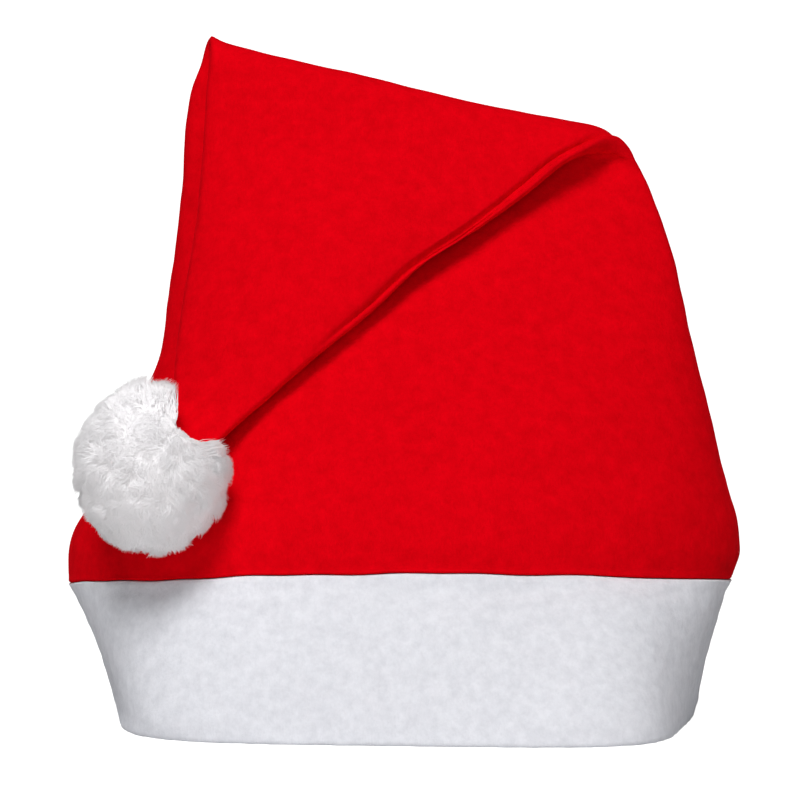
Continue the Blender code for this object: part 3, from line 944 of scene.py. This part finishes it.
def build_pile(settings, felt_points, material, layer):
    """One layer of fibres, from the core's surface to the pompom's.

    A fibre starts along its own direction. Towards its tip that direction gains, by the square of
    the share of its length, a lean away from the pompom's front, one towards its lock, its lock's
    own lean, a little scatter and its weight. Its distance from the centre grows evenly.
    """
    rng = np.random.default_rng(100 + layer)
    lock_rng = np.random.default_rng(17)
    locks = jittered(spread_directions(settings.locks), LOCK_SCATTER, lock_rng)
    lock_lean = lock_rng.normal(0, LOCK_LEAN, (settings.locks, 3))
    lock_length = LOCK_LENGTH + LOCK_LENGTH_SPREAD * lock_rng.uniform(-1, 1, settings.locks)
    lock_tone = lock_rng.uniform(-LOCK_TONE, LOCK_TONE, settings.locks)
    own = jittered(spread_directions(settings.fibres), FIBRE_SCATTER, rng)
    lock = (own @ locks.T).argmax(axis=1)
    middle = unit(np.array(PILE_MIDDLE))
    away = own * (own @ middle)[:, None] - middle
    gather = settings.gather * rng.uniform(*GATHER_RANGE, (len(own), 1))
    lean = settings.comb * away + gather * (locks[lock] - own) + lock_lean[lock]
    lean += rng.normal(0, FIBRE_LEAN, own.shape)
    lean[:, 2] -= settings.droop
    root = CORE_SHARE - ROOT_DEPTH * rng.random(len(own))
    reach = pile_reach(unit(own + lean), felt_points) * lock_length[lock]
    reach *= 1 - SHORTER_BY * rng.random(len(own)) ** 2
    share = np.array(FIBRE_STEPS)
    way = unit(own[:, None] + (share**2)[:, None] * lean[:, None])
    start = root * pile_reach(own, felt_points)
    far = start[:, None] + share * (reach - start)[:, None]
    paths = POMPOM_CENTRE + way * far[:, :, None]
    thickness = rng.uniform(*FIBRE_WIDTHS, (len(own), 1))
    widths = settings.fibre_width * np.array(FIBRE_TAPER) * thickness
    shade = rng.uniform(-FIBRE_TONE, FIBRE_TONE, (len(own), 1)) + lock_tone[lock][:, None]
    # The steps' tones darken towards the root as painted shade deep in the pile; the fibre's and its lock's
    # own tones vary at random.
    tones = np.clip(np.array(FIBRE_SHADE_TONES) + shade, 0, 1)
    piece = needles(f"pompom_pile_{layer}", paths, widths, tones)
    soften_normals(piece.data)
    piece.data.materials.append(material)
    return piece


# Stage


def build_floor(settings):
    """A pale floor that sweeps up behind the hat: a profile of line, quarter circle and line."""
    turn = np.linspace(0, 0.5 * math.pi, 25)
    sweep_y = SWEEP_START + SWEEP_RADIUS * np.sin(turn)
    sweep_z = SWEEP_RADIUS * (1 - np.cos(turn))
    y = np.concatenate([[FLOOR_FRONT], sweep_y, sweep_y[-1:]])
    z = np.concatenate([[0.0], sweep_z, [BACKDROP_TOP]])
    profile = vectors(0 * y, y, z)
    left = profile + (-FLOOR_HALF_WIDTH, 0, 0)
    right = profile + (FLOOR_HALF_WIDTH, 0, 0)
    points = np.stack([left, right], axis=1).reshape(-1, 3)
    low = 2 * np.arange(len(y) - 1)[:, None]
    floor = fill_mesh("stage_floor", points, low + [0, 1, 3, 2], [])
    material = bpy.data.materials.new("stage_floor")
    material.use_nodes = True
    shader = material.node_tree.nodes["Principled BSDF"]
    shader.inputs["Base Color"].default_value = settings.floor
    shader.inputs["Roughness"].default_value = 0.9
    shader.inputs["Specular IOR Level"].default_value = 0.1
    shader.inputs["Emission Color"].default_value = (1, 1, 1, 1)
    seen = material.node_tree.nodes.new("ShaderNodeLightPath")
    glow = node(material.node_tree, "ShaderNodeMath", operation="MULTIPLY")
    material.node_tree.links.new(seen.outputs["Is Camera Ray"], glow.inputs[0])
    glow.inputs[1].default_value = settings.glow
    material.node_tree.links.new(glow.outputs[0], shader.inputs["Emission Strength"])
    floor.data.materials.append(material)


def add_light(name, place, aim, size, power):
    """A square area light at a place, turned towards a point."""
    data = bpy.data.lights.new(name, "AREA")
    data.size = size
    data.energy = power
    light = bpy.data.objects.new(name, data)
    light.location = place
    way = np.array(aim) - np.array(place)
    flat = math.hypot(way[0], way[1])
    light.rotation_euler = (math.atan2(flat, -way[2]), 0, math.atan2(way[1], way[0]) - 0.5 * math.pi)
    bpy.context.scene.collection.objects.link(light)


def build_stage(settings):
    """The floor, two soft lights, an even sky and the camera."""
    scene = bpy.context.scene
    build_floor(settings)
    add_light("key_light", KEY_PLACE, LIGHT_AIM, KEY_WIDTH, settings.key)
    add_light("front_light", FRONT_PLACE, LIGHT_AIM, FRONT_WIDTH, settings.front)
    world = bpy.data.worlds.new("white_sky")
    world.use_nodes = True
    sky = world.node_tree.nodes["Background"]
    sky.inputs["Color"].default_value = (1, 1, 1, 1)
    sky.inputs["Strength"].default_value = settings.sky
    scene.world = world
    data = bpy.data.cameras.new("photo_camera")
    data.lens = settings.lens
    data.sensor_width = 36.0
    camera = bpy.data.objects.new("photo_camera", data)
    camera.location = (settings.side, -settings.distance, settings.height)
    camera.rotation_euler = (0.5 * math.pi + math.radians(settings.pitch), 0, 0)
    scene.collection.objects.link(camera)
    scene.camera = camera
    scene.view_settings.view_transform = "Standard"


# Operators and panel


class HAT_OT_crown(bpy.types.Operator):
    """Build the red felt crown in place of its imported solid"""

    bl_idname = "hat.crown"
    bl_label = "Felt Crown"

    def execute(self, context):
        build_crown(context.scene.hat_crown)
        return {"FINISHED"}


class HAT_OT_cuff(bpy.types.Operator):
    """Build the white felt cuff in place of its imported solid"""

    bl_idname = "hat.cuff"
    bl_label = "Felt Cuff"

    def execute(self, context):
        build_cuff(context.scene.hat_cuff)
        return {"FINISHED"}


class HAT_OT_pompom(bpy.types.Operator):
    """Build the pompom's core and its layers of pile, pressed against the felt crown"""

    bl_idname = "hat.pompom"
    bl_label = "Pompom"

    def execute(self, context):
        crown = bpy.data.objects.get("felt_crown")
        if crown is None:
            raise RuntimeError("Build the crown first: the pompom is pressed against it")
        settings = context.scene.hat_pompom
        felt_points = felt_cloud(crown)
        material = pile_material("white_pile", settings)
        core = build_core(felt_points, material)
        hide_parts("pompom")
        layers = [build_pile(settings, felt_points, material, layer) for layer in range(1, PILE_LAYERS + 1)]
        for piece in [core] + layers:
            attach(piece, "root")
        return {"FINISHED"}


class HAT_OT_stage(bpy.types.Operator):
    """Build the floor, the lights and the camera"""

    bl_idname = "hat.stage"
    bl_label = "Stage"

    def execute(self, context):
        build_stage(context.scene.hat_stage)
        return {"FINISHED"}


class HAT_PT_sidebar(bpy.types.Panel):
    """Lists the hat's pieces in the 3D view's sidebar"""

    bl_label = "Santa Hat"
    bl_space_type = "VIEW_3D"
    bl_region_type = "UI"
    bl_category = "Santa Hat"

    def draw(self, context):
        for operator in OPERATORS:
            self.layout.operator(operator.bl_idname)


SETTINGS = {
    "hat_crown": CrownSettings,
    "hat_cuff": CuffSettings,
    "hat_pompom": PompomSettings,
    "hat_stage": StageSettings,
}
OPERATORS = (HAT_OT_crown, HAT_OT_cuff, HAT_OT_pompom, HAT_OT_stage)
CLASSES = tuple(SETTINGS.values()) + OPERATORS + (HAT_PT_sidebar,)


def register():
    for each in CLASSES:
        bpy.utils.register_class(each)
    for name, group in SETTINGS.items():
        setattr(bpy.types.Scene, name, bpy.props.PointerProperty(type=group))


def unregister():
    for name in SETTINGS:
        delattr(bpy.types.Scene, name)
    for each in reversed(CLASSES):
        bpy.utils.unregister_class(each)


def main():
    register()
    bpy.ops.hat.crown()
    bpy.ops.hat.cuff()
    bpy.ops.hat.pompom()
    bpy.ops.hat.stage()


if __name__ == "__main__":
    main()
